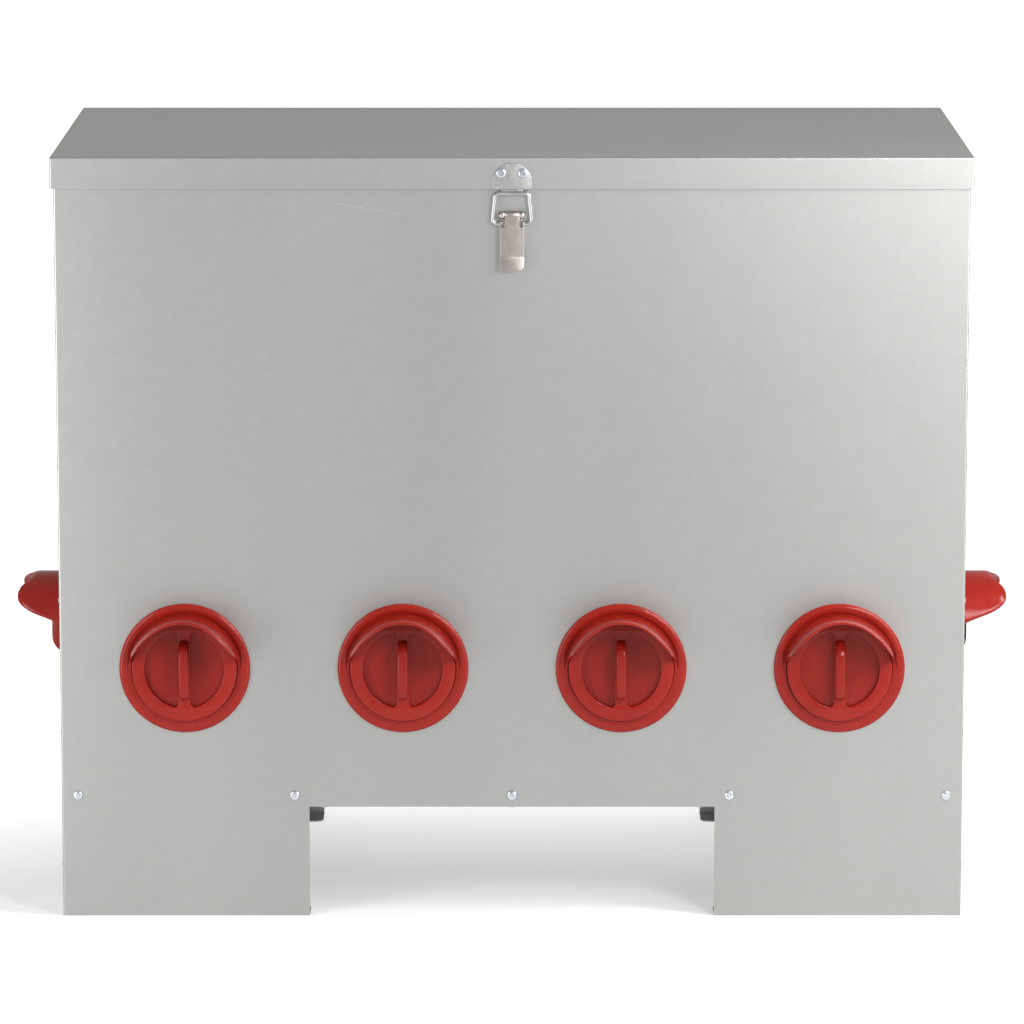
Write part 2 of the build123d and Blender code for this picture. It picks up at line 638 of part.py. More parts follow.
def lever():
    """Handle: a narrow rolled tongue on the pin, a flanged plate below it, and an outturned lip."""
    front = LATCH_Y - LATCH_CURL_RADIUS
    back = front + LATCH_PLATE
    half = LEVER_WIDTH / 2
    tongue = LEVER_TONGUE / 2
    plate = block(-half, half, front, back, LEVER_LIP_TOP, LEVER_SHOULDER)
    plate += block(-tongue, tongue, front, back, LEVER_SHOULDER - OVERCUT, LATCH_PIVOT_HEIGHT)
    plate += curl(-tongue, tongue)
    plate += lever_lip(front, back)
    flange_back = -(HALF_DEPTH + LATCH_PLATE + CHEEK_BACK_GAP)
    for side in (-1, 1):
        low, high = sorted((side * (half - LATCH_PLATE), side * half))
        cheek = block(low, high, front, flange_back, LEVER_LIP_TOP + CHEEK_START, BAIL_PIVOT_HEIGHT)
        lobe = Pos((low + high) / 2, bail_pivot(), BAIL_PIVOT_HEIGHT) * Rot(0, 90, 0)
        cheek += lobe * Cylinder(CHEEK_LOBE, high - low)
        cheek -= lobe * Cylinder(BAIL_WIRE + RUNNING_FIT, high - low)
        plate += cheek
    return plate


def lever_lip(front, back):
    """The lever's end, turned out for the finger, with rounded corners."""
    half = LEVER_WIDTH / 2
    outline = Polyline((front, LEVER_LIP_TOP), (front - LEVER_LIP_REACH, LEVER_BOTTOM),
                       (back - LEVER_LIP_REACH, LEVER_BOTTOM), (back, LEVER_LIP_TOP), close=True)
    lip = extrude(make_face(Plane.YZ * outline), half, both=True)
    mask = block(-half, half, front - 2 * LEVER_LIP_REACH, back + OVERCUT, LEVER_BOTTOM, LEVER_SHOULDER)
    mask = fillet(mask.edges().filter_by(Axis.Y).group_by(Axis.Z)[0], LEVER_CORNER)
    return lip & mask


def bail():
    """Bent wire loop that pulls the lid's keeper down."""
    pivot = bail_pivot()
    top = -(HALF_DEPTH + BAIL_TOP_OUT)
    end = LEVER_WIDTH / 2 - LATCH_PLATE - LATCH_GAP
    points = [
        (end, pivot, BAIL_PIVOT_HEIGHT), (BAIL_BOTTOM_HALF, pivot, BAIL_PIVOT_HEIGHT),
        (BAIL_TOP_HALF, top, BAIL_TOP_HEIGHT), (-BAIL_TOP_HALF, top, BAIL_TOP_HEIGHT),
        (-BAIL_BOTTOM_HALF, pivot, BAIL_PIVOT_HEIGHT), (-end, pivot, BAIL_PIVOT_HEIGHT),
    ]
    route = FilletPolyline(*points, radius=BAIL_CORNER)
    start = Plane(origin=points[0], z_dir=(1, 0, 0))
    return sweep(start * Circle(BAIL_WIRE), route)


def keeper():
    """Plate on the lid's rim whose lower edge is turned out over the bail."""
    face = -LID_BACK
    front = face - LATCH_PLATE
    disc = Pos(0, face, KEEPER_CENTRE) * TO_FRONT * Cylinder(KEEPER_RADIUS, LATCH_PLATE, align=UPWARD)
    plate = disc & block(-KEEPER_RADIUS, KEEPER_RADIUS, front, face, LID_TOP - LID_RIM, LID_TOP)
    half = KEEPER_LIP_WIDTH / 2
    plate += block(-half, half, front, face, KEEPER_LIP_BOTTOM, KEEPER_CENTRE)
    plate += block(-half, half, front - KEEPER_LIP_REACH, front + LATCH_PLATE / 2,
                   KEEPER_LIP_BOTTOM, KEEPER_LIP_BOTTOM + LATCH_PLATE)
    for site in keeper_screw_sites():
        plate -= through_hole(site, SCREW_HOLE)
    return plate


# All nodes

def build_nodes():
    nodes = {
        "front_panel": end_wall("front"),
        "back_panel": end_wall("back"),
        "left_side_panel": side_wall("left"),
        "right_side_panel": side_wall("right"),
        "floor_pan": floor_pan(),
        "feed_ridge": feed_ridge(),
        "lid_panel": lid_panel(),
        "hinge_body_leaf": body_leaf(),
        "hinge_lid_leaf": lid_leaf(),
        "hinge_pin": hinge_pin(),
        "latch_base": latch_base(),
        "latch_lever_pin": lever_pin(),
        "latch_lever": lever(),
        "latch_bail": bail(),
        "latch_keeper": keeper(),
    }
    floor_screw = pan_screw(SCREW_LENGTH)
    nodes["floor_wall_screws"] = group(site * floor_screw for site in floor_screw_sites())
    nodes["floor_cutout_screws"] = group(site * floor_screw for site in cutout_screw_sites())
    nodes["feed_ridge_screws"] = group(site * floor_screw for site in ridge_screw_sites())
    keeper_screw = pan_screw(KEEPER_SCREW_LENGTH)
    nodes["keeper_screws"] = group(site * keeper_screw for site in keeper_screw_sites())
    seam_rivet = dome_rivet(2 * SHEET)
    nodes["seam_rivets"] = group(site * seam_rivet for site in seam_rivet_sites())
    hinge_rivet = dome_rivet(LEAF + SHEET)
    nodes["hinge_body_rivets"] = group(site * hinge_rivet for site in body_rivet_sites())
    nodes["hinge_lid_rivets"] = group(site * hinge_rivet for site in lid_rivet_sites())
    base_rivet = dome_rivet(LATCH_PLATE + SHEET)
    face = -(HALF_DEPTH + LATCH_PLATE)
    nodes["latch_base_rivets"] = group(Pos(0, face, z) * TO_FRONT * base_rivet for z in BASE_RIVETS_Z)
    add_ports(nodes)
    return nodes


def add_ports(nodes):
    port_shape = port()
    ring_shape = lock_ring()
    seal_shape = plug_seal()
    plug_shape = plug()
    short_plug_shape = plug(SHORT_GRIP_HEIGHT)
    rings = {"front": [], "back": [], "side": []}
    for wall, number, site in port_sites():
        name = wall + "_port" + ("_" + number if number else "")
        nodes[name] = site * port_shape
        nodes[name + "_plug"] = site * (short_plug_shape if wall == "right" else plug_shape)
        nodes[name + "_plug_seal"] = site * seal_shape
        rings[wall if wall in rings else "side"].append(site * ring_shape)
    for wall, solids in rings.items():
        nodes[wall + "_port_lock_rings"] = group(solids)


os.makedirs("parts", exist_ok=True)
for node_name, shape in build_nodes().items():
    export_step(shape, "parts/" + node_name + ".step")
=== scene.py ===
"""Looks of a gravity poultry feeder: galvanised sheet hopper, moulded feeding ports with turn-out plugs,
nickelled toggle latch and zinc-plated fasteners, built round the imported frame. Metres; +Z up; front at -Y."""
import math
import bpy
from mathutils import Matrix, Vector


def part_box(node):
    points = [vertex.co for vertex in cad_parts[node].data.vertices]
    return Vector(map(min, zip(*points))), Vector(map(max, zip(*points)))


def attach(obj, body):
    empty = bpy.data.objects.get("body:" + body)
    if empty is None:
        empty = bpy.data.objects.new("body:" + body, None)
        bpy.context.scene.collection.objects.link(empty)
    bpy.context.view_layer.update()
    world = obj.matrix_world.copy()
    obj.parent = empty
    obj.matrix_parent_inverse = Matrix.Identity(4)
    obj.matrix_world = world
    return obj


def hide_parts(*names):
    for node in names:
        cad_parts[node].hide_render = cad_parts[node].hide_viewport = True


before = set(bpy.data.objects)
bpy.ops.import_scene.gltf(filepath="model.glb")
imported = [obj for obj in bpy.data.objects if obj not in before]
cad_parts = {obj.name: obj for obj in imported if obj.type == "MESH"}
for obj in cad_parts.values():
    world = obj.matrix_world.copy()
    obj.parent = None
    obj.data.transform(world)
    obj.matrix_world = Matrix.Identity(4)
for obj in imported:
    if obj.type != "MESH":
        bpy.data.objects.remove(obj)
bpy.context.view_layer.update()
MM = 0.001

# ---------------------------------------------------------------- places, read from the frame
FRONT_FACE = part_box("front_panel")[0].y
BACK_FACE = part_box("back_panel")[1].y
RIGHT_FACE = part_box("right_side_panel")[1].x
LEFT_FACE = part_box("left_side_panel")[0].x
LID_LOW, LID_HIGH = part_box("lid_panel")
TO_FRONT = Matrix.Rotation(math.radians(90), 4, "X")
WALL_TURN = {"front": 0, "right": 90, "back": 180, "left": 270}

# ---------------------------------------------------------------- port sizes, in millimetres
FLANGE_RADIUS = 58.0
FLANGE_FACE = 4.4
HOOD_OUTER = 49.3
HOOD_INNER = 47.0
SEAT = 1.5
TUBE_OUTER = 46.9
TUBE_INNER = 44.0
TUBE_END = -14.0
PLUG_RADIUS = 46.4
PLUG_FLOOR = 4.0
PLUG_FACE = 9.0
RECESS_RADIUS = 35.0
RECESS_CORNER = 3.2
BAR_WIDTH = 10.6
GRIP_WIDTH = 8.8
GRIP_HEIGHT = 23.3
SHORT_GRIP_HEIGHT = 18.3
GRIP_HALF_LENGTH = 26.8
GRIP_FLAT = 11.0
ROUND_SEGMENTS = 96
GROOVE_END = 3.0
RIM_ROUND = 3.4
THREAD_TURNS = 4
THREAD_PITCH = 2.5
THREAD_DEPTH = 1.0
PLUG_BACK = 1.8
PLUG_EDGE = 0.9
GRIP_EDGE = 1.9
SPIGOT_OUTER = 43.4
SPIGOT_INNER = 39.6
SPIGOT_END = -12.0
SPIGOT_CORNER = 0.6
SEAL_GROOVE_RADIUS = 42.0
SEAL_GROOVE_SIDES = (-4.0, -7.0)

# Angle from the hood's top in degrees, and how far the hood stands out of the wall there
HOOD_REACHES = [(0, 39.8), (18, 41.6), (34, 49.6), (47, 51.7), (57, 48.6), (66, 38.6), (75, 20.0), (83, 5.2)]
HOOD_END_ANGLE = 83.0
HOOD_LIP_TAPER = 7.0


# ---------------------------------------------------------------- small tools
def linear(code):
    """Turn an sRGB hex colour into the linear colour that a shader takes."""
    values = [int(code[place:place + 2], 16) / 255 for place in (1, 3, 5)]
    return [v / 12.92 if v <= 0.04045 else ((v + 0.055) / 1.055) ** 2.4 for v in values] + [1.0]


def node(tree, kind, links=None, **settings):
    """Add a shader node. links maps an input to a value or to another node's output."""
    made = tree.nodes.new("ShaderNode" + kind)
    for name, value in settings.items():
        setattr(made, name, value)
    for socket, value in (links or {}).items():
        if isinstance(value, bpy.types.NodeSocket):
            tree.links.new(value, made.inputs[socket])
        else:
            made.inputs[socket].default_value = value
    return made


def new_material(name):
    material = bpy.data.materials.new(name)
    material.use_nodes = True
    tree = material.node_tree
    shader = tree.nodes["Principled BSDF"]
    return material, tree, shader


def select_only(*pieces):
    bpy.ops.object.select_all(action="DESELECT")
    for piece in pieces:
        piece.select_set(True)
    bpy.context.view_layer.objects.active = pieces[0]


def edit(piece):
    select_only(piece)
    bpy.ops.object.mode_set(mode="EDIT")


def leave_edit():
    bpy.ops.object.mode_set(mode="OBJECT")


def apply_modifier(piece, kind, **settings):
    select_only(piece)
    modifier = piece.modifiers.new(kind.lower(), kind)
    for name, value in settings.items():
        setattr(modifier, name, value)
    bpy.ops.object.modifier_apply(modifier=modifier.name)


def round_edges(piece, width_mm, segments=3, angle=30):
    apply_modifier(piece, "BEVEL", width=width_mm * MM, segments=segments, limit_method="ANGLE",
                   angle_limit=math.radians(angle), use_clamp_overlap=True)


def smooth(piece, angle=35):
    select_only(piece)
    bpy.ops.object.shade_smooth_by_angle(angle=math.radians(angle))


def tidy_mesh(piece, merge_mm=0.01):
    """Merge doubled points and point the faces outwards."""
    edit(piece)
    bpy.ops.mesh.select_all(action="SELECT")
    bpy.ops.mesh.remove_doubles(threshold=merge_mm * MM)
    bpy.ops.mesh.normals_make_consistent(inside=False)
    leave_edit()


def join(name, *pieces):
    select_only(*pieces)
    if len(pieces) > 1:
        bpy.ops.object.join()
    pieces[0].name = name
    pieces[0].data.name = name
    return pieces[0]


def freeze(piece):
    """Move a piece's place, turn and size into its mesh."""
    select_only(piece)
    bpy.ops.object.transform_apply(location=True, rotation=True, scale=True)


def block(low, high):
    """A box between two corners in millimetres, made from the cube primitive."""
    bpy.ops.object.select_all(action="DESELECT")
    middle = [(a + b) / 2 * MM for a, b in zip(low, high)]
    bpy.ops.mesh.primitive_cube_add(size=1, location=middle)
    piece = bpy.context.object
    piece.scale = [abs(b - a) * MM for a, b in zip(low, high)]
    freeze(piece)
    return piece


def lathe(rings, segments=ROUND_SEGMENTS, cap_start=False, cap_end=False):
    """Turn a radius-height profile in millimetres round Z: a circle extruded and resized ring by ring."""
    bpy.ops.object.select_all(action="DESELECT")
    radius, height = rings[0]
    bpy.ops.mesh.primitive_circle_add(vertices=segments, radius=radius * MM, location=(0, 0, height * MM),
                                      fill_type="NGON" if cap_start else "NOTHING")
    piece = bpy.context.object
    freeze(piece)
    edit(piece)
    bpy.ops.mesh.select_all(action="SELECT")
    if cap_start:
        bpy.ops.mesh.select_all(action="DESELECT")
        leave_edit()
        for edge in piece.data.edges:
            edge.select = True
        bpy.ops.object.mode_set(mode="EDIT")
        bpy.ops.mesh.select_mode(type="EDGE")
    for next_radius, next_height in rings[1:]:
        bpy.ops.mesh.extrude_edges_move(
            TRANSFORM_OT_translate={"value": (0, 0, (next_height - height) * MM)})
        scale = next_radius / radius
        bpy.ops.transform.resize(value=(scale, scale, 1))
        radius, height = next_radius, next_height
    if cap_end:
        bpy.ops.mesh.edge_face_add()
    bpy.ops.mesh.select_mode(type="VERT")
    leave_edit()
    tidy_mesh(piece)
    return piece


def arc(centre, radius, start, end, steps):
    """Points along an arc, with angles in degrees."""
    angles = [math.radians(start + (end - start) * step / steps) for step in range(steps + 1)]
    return [(centre[0] + radius * math.cos(a), centre[1] + radius * math.sin(a)) for a in angles]


def plate(outlines, low, high, edge):
    """Flat plate in millimetres with rounded edges, filled between an outline and its holes."""
    curve = bpy.data.curves.new("plate", "CURVE")
    curve.dimensions = "2D"
    curve.fill_mode = "BOTH"
    for outline in outlines:
        spline = curve.splines.new("POLY")
        spline.points.add(len(outline) - 1)
        for point, (x, y) in zip(spline.points, outline):
            point.co = (x * MM, y * MM, 0, 1)
        spline.use_cyclic_u = True
    curve.extrude = ((high - low) / 2 - edge) * MM
    curve.bevel_depth = edge * MM
    curve.bevel_resolution = 2
    curve.offset = -edge * MM
    piece = bpy.data.objects.new("plate", curve)
    bpy.context.scene.collection.objects.link(piece)
    piece.location.z = (low + high) / 2 * MM
    select_only(piece)
    bpy.ops.object.convert(target="MESH")
    piece = bpy.context.object
    freeze(piece)
    tidy_mesh(piece, 0.02)
    return piece


def copies(master, names_and_places):
    """Copy a finished piece to each place, each copy with its own mesh, and drop the master."""
    made = []
    for name, place in names_and_places:
        piece = master.copy()
        piece.data = master.data.copy()
        piece.name = name
        piece.data.name = name
        bpy.context.scene.collection.objects.link(piece)
        piece.data.transform(place)
        made.append(piece)
    bpy.data.objects.remove(master)
    return made


def dress(piece, material, body, slot, *replaced):
    """Give a finished piece its material, its body and the CAD nodes that it stands for."""
    piece.data.materials.clear()
    piece.data.materials.append(material)
    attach(piece, body)
    if replaced:
        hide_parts(*replaced)
    return piece


# ---------------------------------------------------------------- materials
def galvanised_sheet(name, rolling_axis):
    """Hot-dip galvanised steel, skin-passed flat. The zinc gives a satin grey with a faint mottle of small
    crystals, and the rolls leave soft bands along the sheet and a very slight waviness in the reflections."""
    material, tree, shader = new_material(name)
    place = node(tree, "TexCoord").outputs["Object"]
    along = {"X": (1.2, 11.0, 11.0), "Z": (9.0, 9.0, 0.8)}[rolling_axis]
    stretched = node(tree, "Mapping", {"Vector": place, "Scale": along}).outputs["Vector"]
    bands = node(tree, "TexNoise", {"Vector": stretched, "Scale": 1.0, "Detail": 2.0, "Roughness": 0.45})
    crystals = node(tree, "TexVoronoi", {"Vector": place, "Scale": 1 / 0.007, "Randomness": 1.0})
    crystal_tone = node(tree, "SeparateColor", {"Color": crystals.outputs["Color"]})
    grain = node(tree, "TexNoise", {"Vector": place, "Scale": 1 / 0.0015, "Detail": 3.0, "Roughness": 0.6})
    tone_one = node(tree, "MapRange", {"Value": bands.outputs["Fac"], "From Min": 0.3, "From Max": 0.7,
                                       "To Min": 0.50, "To Max": 0.56})
    tone_two = node(tree, "Math", {0: crystal_tone.outputs["Red"], 1: 0.035, 2: tone_one.outputs["Result"]},
                    operation="MULTIPLY_ADD")
    tone_three = node(tree, "Math", {0: grain.outputs["Fac"], 1: 0.05, 2: tone_two.outputs["Value"]},
                      operation="MULTIPLY_ADD")
    ramp = node(tree, "ValToRGB", {"Fac": tone_three.outputs["Value"]})
    ramp.color_ramp.elements[0].position = 0.35
    ramp.color_ramp.elements[0].color = linear("#a3a3a1")
    ramp.color_ramp.elements[1].position = 0.85
    ramp.color_ramp.elements[1].color = linear("#bcbcba")
    tree.links.new(ramp.outputs["Color"], shader.inputs["Base Color"])
    gloss = node(tree, "MapRange", {"Value": tone_three.outputs["Value"], "From Min": 0.4, "From Max": 0.8,
                                    "To Min": 0.40, "To Max": 0.50})
    tree.links.new(gloss.outputs["Result"], shader.inputs["Roughness"])
    shader.inputs["Metallic"].default_value = 1.0
    waves = node(tree, "TexNoise", {"Vector": place, "Scale": 1 / 0.16, "Detail": 1.0, "Roughness": 0.4})
    slow = node(tree, "Bump", {"Height": waves.outputs["Fac"], "Strength": 0.35, "Distance": 0.0012})
    fine = node(tree, "Bump", {"Height": grain.outputs["Fac"], "Strength": 0.12, "Distance": 0.0002,
                               "Normal": slow.outputs["Normal"]})
    tree.links.new(fine.outputs["Normal"], shader.inputs["Normal"])
    return material


def moulded_plastic(name, body_colour, worn_colour, roughness):
    """Injection-moulded polypropylene. It is glossy with a faint orange-peel skin, slightly uneven in
    colour where the melt flowed, and scuffed a little duller in patches."""
    material, tree, shader = new_material(name)
    place = node(tree, "TexCoord").outputs["Object"]
    flow = node(tree, "TexNoise", {"Vector": place, "Scale": 1 / 0.03, "Detail": 3.0, "Roughness": 0.5,
                                   "Distortion": 0.6})
    ramp = node(tree, "ValToRGB", {"Fac": flow.outputs["Fac"]})
    ramp.color_ramp.elements[0].position = 0.3
    ramp.color_ramp.elements[0].color = linear(body_colour)
    ramp.color_ramp.elements[1].position = 0.8
    ramp.color_ramp.elements[1].color = linear(worn_colour)
    tree.links.new(ramp.outputs["Color"], shader.inputs["Base Color"])
    scuffs = node(tree, "TexNoise", {"Vector": place, "Scale": 1 / 0.004, "Detail": 4.0, "Roughness": 0.65})
    gloss = node(tree, "MapRange", {"Value": scuffs.outputs["Fac"], "From Min": 0.35, "From Max": 0.75,
                                    "To Min": roughness - 0.04, "To Max": roughness + 0.08})
    tree.links.new(gloss.outputs["Result"], shader.inputs["Roughness"])
    peel = node(tree, "TexNoise", {"Vector": place, "Scale": 1 / 0.0022, "Detail": 2.0})
    skin = node(tree, "Bump", {"Height": peel.outputs["Fac"], "Strength": 0.10, "Distance": 0.0002})
    tree.links.new(skin.outputs["Normal"], shader.inputs["Normal"])
    shader.inputs["IOR"].default_value = 1.49
    shader.inputs["Specular IOR Level"].default_value = 0.25
    return material


def plated_steel(name, low_colour, high_colour, roughness, scratch_mm):
    """Pressed steel with a thin bright plating. The plating mirrors the room softly and carries fine
    handling scratches."""
    material, tree, shader = new_material(name)
    place = node(tree, "TexCoord").outputs["Object"]
    squeezed = node(tree, "Mapping", {"Vector": place, "Scale": (1.0, 1.0, 0.12)}).outputs["Vector"]
    brush = node(tree, "TexNoise", {"Vector": squeezed, "Scale": 1 / (scratch_mm * MM), "Detail": 4.0,
                                    "Roughness": 0.6})
    cloud = node(tree, "TexNoise", {"Vector": place, "Scale": 1 / 0.008, "Detail": 2.0})
    tone = node(tree, "Math", {0: cloud.outputs["Fac"], 1: 0.6, 2: brush.outputs["Fac"]},
                operation="MULTIPLY_ADD")
    ramp = node(tree, "ValToRGB", {"Fac": tone.outputs["Value"]})
    ramp.color_ramp.elements[0].position = 0.4
    ramp.color_ramp.elements[0].color = linear(low_colour)
    ramp.color_ramp.elements[1].position = 1.0
    ramp.color_ramp.elements[1].color = linear(high_colour)
    tree.links.new(ramp.outputs["Color"], shader.inputs["Base Color"])
    gloss = node(tree, "MapRange", {"Value": tone.outputs["Value"], "From Min": 0.5, "From Max": 1.1,
                                    "To Min": roughness - 0.05, "To Max": roughness + 0.07})
    tree.links.new(gloss.outputs["Result"], shader.inputs["Roughness"])
    marks = node(tree, "Bump", {"Height": brush.outputs["Fac"], "Strength": 0.06, "Distance": 0.0001})
    tree.links.new(marks.outputs["Normal"], shader.inputs["Normal"])
    shader.inputs["Metallic"].default_value = 1.0
    return material


def seal_rubber(name):
    """Moulded nitrile rubber: near-black, dull, with a dusty bloom in patches."""
    material, tree, shader = new_material(name)
    place = node(tree, "TexCoord").outputs["Object"]
    bloom = node(tree, "TexNoise", {"Vector": place, "Scale": 1 / 0.006, "Detail": 4.0, "Roughness": 0.6})
    ramp = node(tree, "ValToRGB", {"Fac": bloom.outputs["Fac"]})
    ramp.color_ramp.elements[0].color = linear("#141414")
    ramp.color_ramp.elements[1].color = linear("#2b2b2a")
    tree.links.new(ramp.outputs["Color"], shader.inputs["Base Color"])
    skin = node(tree, "Bump", {"Height": bloom.outputs["Fac"], "Strength": 0.2, "Distance": 0.0002})
    tree.links.new(skin.outputs["Normal"], shader.inputs["Normal"])
    shader.inputs["Roughness"].default_value = 0.72
    return material


GALVANISED_UPRIGHT = galvanised_sheet("galvanised_sheet_upright", "Z")
GALVANISED_FLAT = galvanised_sheet("galvanised_sheet_flat", "X")
RED_PLASTIC = moulded_plastic("red_moulded_polypropylene", "#851910", "#8f1f15", 0.2)
BLACK_PLASTIC = moulded_plastic("black_moulded_polypropylene", "#0b0b0b", "#131313", 0.3)
NICKEL = plated_steel("nickel_plated_pressed_steel", "#b9aeaa", "#c3b9b5", 0.30, 0.4)
BLUE_ZINC = plated_steel("blue_zinc_plated_screw_steel", "#b9c0c8", "#dfe4ea", 0.22, 0.4)
RIVET_STEEL = plated_steel("zinc_plated_rivet_steel", "#b4b4b2", "#cfcfcd", 0.33, 0.6)
BAIL_STEEL = plated_steel("bright_drawn_zinc_plated_wire", "#a9a9a7", "#c9c9c7", 0.24, 0.4)
KEEPER_ZINC = plated_steel("zinc_plated_keeper_sheet", "#b0b1ae", "#c2c3c0", 0.36, 0.6)
RUBBER = seal_rubber("moulded_nitrile_rubber")


# ---------------------------------------------------------------- feeding ports
def wall_of(port_name):
    return port_name.split("_")[0]


def port_place(port_name):
    """Frame of a port: Z out of the wall, Y up, origin on the wall's face in the port's middle."""
    wall = wall_of(port_name)
    low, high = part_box(port_name)
    centre = (low + high) / 2
    if wall in ("front", "back"):
        centre.y = FRONT_FACE if wall == "front" else BACK_FACE
    else:
        centre.x = RIGHT_FACE if wall == "right" else LEFT_FACE
    turn = Matrix.Rotation(math.radians(WALL_TURN[wall]), 4, "Z")
    return Matrix.Translation(centre) @ turn @ TO_FRONT


def port_ring():
    """Flange with a domed rim, the seat for the plug, and the threaded tube that goes through the wall."""
    dome = arc((FLANGE_RADIUS - RIM_ROUND, FLANGE_FACE - RIM_ROUND), RIM_ROUND, 0, 80, 6)
    rings = [(TUBE_OUTER, 0), (FLANGE_RADIUS, 0)] + dome
    rings += [(HOOD_OUTER + 1.5, FLANGE_FACE), (HOOD_OUTER + 1.1, FLANGE_FACE - 0.3),
              (HOOD_OUTER + 0.9, FLANGE_FACE - 1.1), (HOOD_OUTER, FLANGE_FACE - 1.1),
              (HOOD_OUTER - 0.1, FLANGE_FACE - 0.3), (HOOD_OUTER - 0.4, FLANGE_FACE),
              (HOOD_INNER + 0.4, FLANGE_FACE), (HOOD_INNER, FLANGE_FACE - 0.4), (HOOD_INNER, SEAT),
              (TUBE_INNER + 0.4, SEAT), (TUBE_INNER, SEAT - 0.4), (TUBE_INNER, TUBE_END),
              (TUBE_OUTER - THREAD_DEPTH, TUBE_END)]
    for turn in range(THREAD_TURNS):
        low = TUBE_END + 0.8 + turn * THREAD_PITCH
        rings += [(TUBE_OUTER - THREAD_DEPTH, low), (TUBE_OUTER, low + 0.8), (TUBE_OUTER, low + 1.2),
                  (TUBE_OUTER - THREAD_DEPTH, low + 2.0)]
    rings += [(TUBE_OUTER - THREAD_DEPTH, -1.0), (TUBE_OUTER, 0)]
    piece = lathe(rings)
    for vertex in piece.data.vertices:
        radius, height = vertex.co.xy.length / MM, vertex.co.z / MM
        in_groove = HOOD_OUTER - 0.5 < radius < HOOD_OUTER + 1.6 and 1.0 < height < FLANGE_FACE
        if in_groove and vertex.co.y / MM < GROOVE_END:
            vertex.co.z = FLANGE_FACE * MM
    return piece


def hood_reach(angle):
    """How far the hood stands out of the wall at an angle from its top, on a smooth curve through the
    listed reaches."""
    knots = HOOD_REACHES
    angle = min(abs(angle), knots[-1][0])
    for index in range(len(knots) - 1):
        (a0, r0), (a1, r1) = knots[index], knots[index + 1]
        if angle <= a1:
            before = knots[index - 1] if index > 0 else (-a1, r1)
            after = knots[index + 2] if index + 2 < len(knots) else (a1 + (a1 - a0), r1 + (r1 - r0))
            slope0 = (r1 - before[1]) / (a1 - before[0])
            slope1 = (after[1] - r0) / (after[0] - a0)
            t = (angle - a0) / (a1 - a0)
            span = a1 - a0
            return ((2 * t**3 - 3 * t**2 + 1) * r0 + (t**3 - 2 * t**2 + t) * span * slope0
                    + (3 * t**2 - 2 * t**3) * r1 + (t**3 - t**2) * span * slope1)
    return knots[-1][1]


def hood():
    """Rain hood: a grid wrapped round the tube. Across it runs the wall's section, up the inside, round the
    thinned lip and back down the outside; along it runs the angle round the tube."""
    columns = 120
    inside_rows, lip_rows, outside_rows = 6, 8, 6
    rows = inside_rows + lip_rows + outside_rows
    root = SEAT + 0.5
    bpy.ops.object.select_all(action="DESELECT")
    bpy.ops.mesh.primitive_grid_add(x_subdivisions=columns, y_subdivisions=rows, size=2)
    piece = bpy.context.object
    for vertex in piece.data.vertices:
        angle = vertex.co.x * HOOD_END_ANGLE
        row = round((vertex.co.y + 1) / 2 * rows)
        reach = hood_reach(angle)
        taper = min(HOOD_LIP_TAPER, (reach - root) * 0.7)
        if row <= inside_rows:
            share = row / inside_rows
            radius, height = HOOD_INNER, root + (reach - 0.5 - root) * share
        elif row < inside_rows + lip_rows:
            turn = (row - inside_rows) / lip_rows * math.pi / 2
            radius = HOOD_INNER + 0.25 + (HOOD_OUTER - HOOD_INNER - 0.25) * math.sin(turn)
            height = reach - taper + taper * math.cos(turn)
        else:
            share = (rows - row) / outside_rows
            radius, height = HOOD_OUTER, root + (reach - taper - root) * share
        spot = math.radians(angle)
        vertex.co = (radius * math.sin(spot) * MM, radius * math.cos(spot) * MM, height * MM)
    edit(piece)
    bpy.ops.mesh.select_all(action="DESELECT")
    bpy.ops.mesh.select_non_manifold()
    bpy.ops.mesh.edge_face_add()
    leave_edit()
    tidy_mesh(piece)
    return piece


def port_moulding():
    piece = join("port_moulding", port_ring(), hood())
    smooth(piece, 40)
    return piece


def recess_outline(side):
    """Half-round recess beside the grip bar, with rounded corners."""
    straight = BAR_WIDTH / 2
    inset = RECESS_RADIUS - RECESS_CORNER
    middle_x = straight + RECESS_CORNER
    middle_y = math.sqrt(inset**2 - middle_x**2)
    tip = math.degrees(math.atan2(middle_y, middle_x))
    points = arc((0, 0), RECESS_RADIUS, -tip, tip, 40)
    points += arc((middle_x, middle_y), RECESS_CORNER, tip, 180, 8)
    points += arc((middle_x, -middle_y), RECESS_CORNER, 180, 360 - tip, 8)[0:-1]
    return [(side * x, y) for x, y in points]


def grip_bridge(height):
    """Finger grip: flat on top, rounded down to the bar at both ends."""
    fall = height - PLUG_FACE + 1
    outline = [(-GRIP_HALF_LENGTH, PLUG_FLOOR), (GRIP_HALF_LENGTH, PLUG_FLOOR)]
    steps = 10
    curve = []
    for step in range(steps + 1):
        turn = step / steps * math.pi / 2
        along = GRIP_FLAT + (GRIP_HALF_LENGTH - GRIP_FLAT) * math.cos(turn)
        curve.append((along, height - fall + fall * math.sin(turn)))
    outline += curve + [(-x, y) for x, y in reversed(curve)]
    piece = plate([outline], -GRIP_WIDTH / 2, GRIP_WIDTH / 2, GRIP_EDGE)
    stand_up = Matrix(((0, 0, 1, 0), (1, 0, 0, 0), (0, 1, 0, 0), (0, 0, 0, 1)))
    piece.data.transform(stand_up)
    return piece


